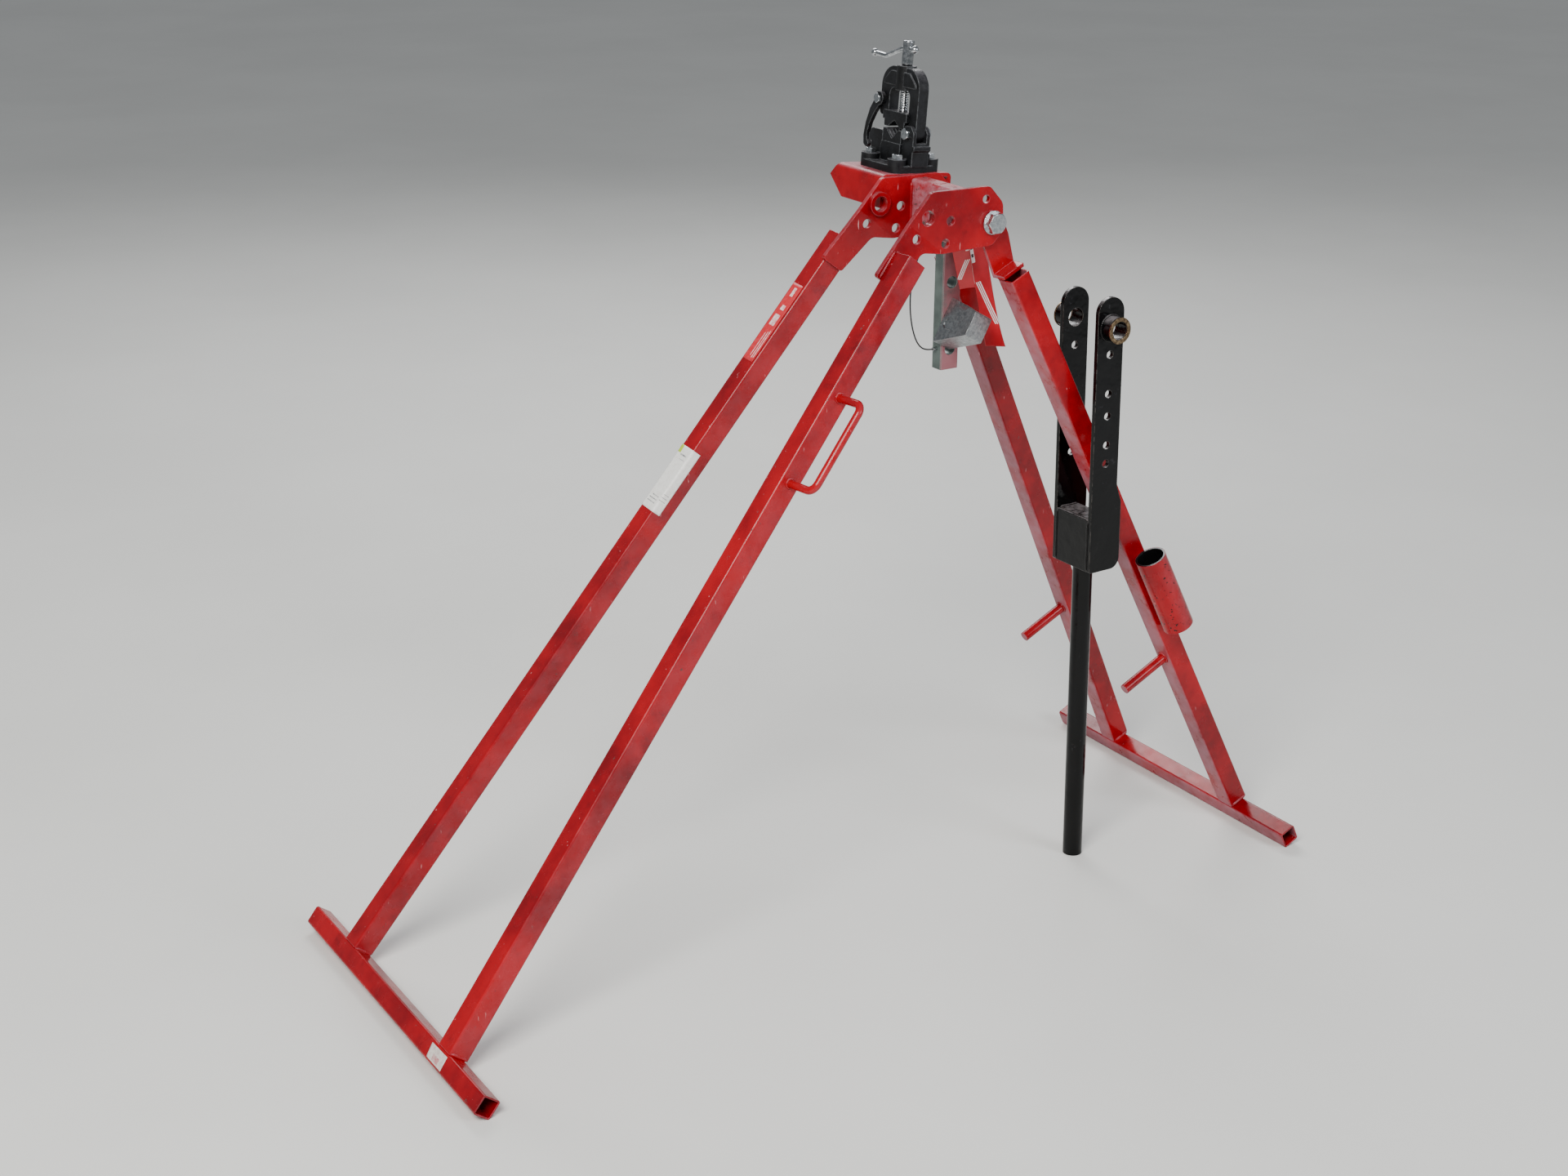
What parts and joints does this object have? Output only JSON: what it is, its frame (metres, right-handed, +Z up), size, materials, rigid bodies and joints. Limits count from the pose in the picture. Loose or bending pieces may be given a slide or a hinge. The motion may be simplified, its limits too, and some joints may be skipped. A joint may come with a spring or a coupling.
{
  "type": "conduit bender stand",
  "caption": "Folding A-frame conduit bender stand with hinged pipe vice, hanging back-stop bar and guide block, and a forked bending lever.",
  "frame": {"origin": "centre of the overall box on the floor", "axes": "+Z up, +X toward the rear frame, -Y is the side with the carry handle and the bending lever"},
  "size_m": [1.2798, 0.508, 1.1077],
  "materials": {
    "red_paint": "gloss",
    "zinc": "satin",
    "black_cast": "satin",
    "black_paint": "gloss",
    "bronze": "satin",
    "grey_paint": "satin",
    "bright_steel": "satin",
    "black_wire": "matte",
    "tag_plastic": "gloss"
  },
  "bodies": {
    "front_frame": {"front_foot_bar": "red_paint", "front_leg_near": "red_paint", "front_leg_far": "red_paint", "cheek_plate_far": "red_paint", "cheek_plate_near": "red_paint", "cheek_boss_rings": "red_paint", "cheek_spacer": "red_paint", "vice_bracket": "red_paint", "carry_handle": "red_paint", "pivot_bolt": "zinc", "pivot_washers": "zinc", "pivot_nut": "zinc", "pivot_sleeve": "zinc", "vice_base": "black_cast", "vice_base_bolts": "zinc", "vice_lower_jaw": "black_cast", "vice_hinge_pin": "zinc"},
    "rear_frame": {"rear_foot_bar": "red_paint", "rear_leg_near": "red_paint", "rear_leg_far": "red_paint", "rear_lug_far": "red_paint", "rear_lug_near": "red_paint", "storage_pegs": "red_paint", "lever_cup": "red_paint"},
    "yoke": {"vice_yoke": "black_cast", "vice_latch_pin": "zinc"},
    "latch": {"vice_latch": "black_cast"},
    "upper_jaw": {"vice_upper_jaw": "black_cast"},
    "screw": {"vice_screw": "bright_steel", "tommy_bar": "bright_steel"},
    "backstop": {"backstop_bar": "grey_paint", "guide_pin": "bright_steel", "lanyard_wire": "black_wire", "lanyard_ferrules": "bright_steel", "swing_tag": "tag_plastic", "tag_tie": "black_wire"},
    "guide": {"guide_block": "grey_paint"},
    "bending_lever": {"lever_plate_near": "black_paint", "lever_plate_far": "black_paint", "lever_web": "black_paint", "lever_top_cap": "black_paint", "lever_bottom_cap": "black_paint", "lever_tube": "black_paint", "lever_bosses": "black_paint", "lever_boss_rings": "bronze"}
  },
  "joints": [
    {"name": "rear_fold", "type": "hinge", "parent": "front_frame", "child": "rear_frame", "pos_m": [0.19892, 0, 0.902], "axis": [0, 1, 0], "range_deg": [0, 35]},
    {"name": "lever_draw", "type": "slide", "parent": "rear_frame", "child": "bending_lever", "axis": [-1, 0, 0], "range_m": [0, 0.03]},
    {"name": "backstop_swing", "type": "hinge", "parent": "front_frame", "child": "backstop", "pos_m": [0.19892, 0, 0.902], "axis": [0, 1, 0], "range_deg": [-45, 15]},
    {"name": "guide_block_turn", "type": "hinge", "parent": "backstop", "child": "guide", "pos_m": [0.19892, 0, 0.757], "axis": [0, 1, 0], "range_deg": [-40, 40]},
    {"name": "vice_yoke_open", "type": "hinge", "parent": "front_frame", "child": "yoke", "pos_m": [0.16697, 0.06675, 0.99558], "axis": [0.9976, 0, -0.0698], "range_deg": [0, 75]},
    {"name": "vice_latch_swing", "type": "hinge", "parent": "yoke", "child": "latch", "pos_m": [0.1585, 0.134, 1.03226], "axis": [0.9976, 0, -0.0698], "range_deg": [-5, 60]},
    {"name": "jaw_travel", "type": "slide", "parent": "yoke", "child": "upper_jaw", "axis": [0.0698, 0, 0.9976], "range_m": [0, 0.022]},
    {"name": "screw_turn", "type": "hinge", "parent": "upper_jaw", "child": "screw", "pos_m": [0.17059, 0.098, 1.04746], "axis": [0.0698, 0, 0.9976], "range_deg": [0, 2630]}
  ],
  "couplings": [
    {"joint": "jaw_travel", "follows": "screw_turn", "m_per_rad": 0.00047746}
  ]
}
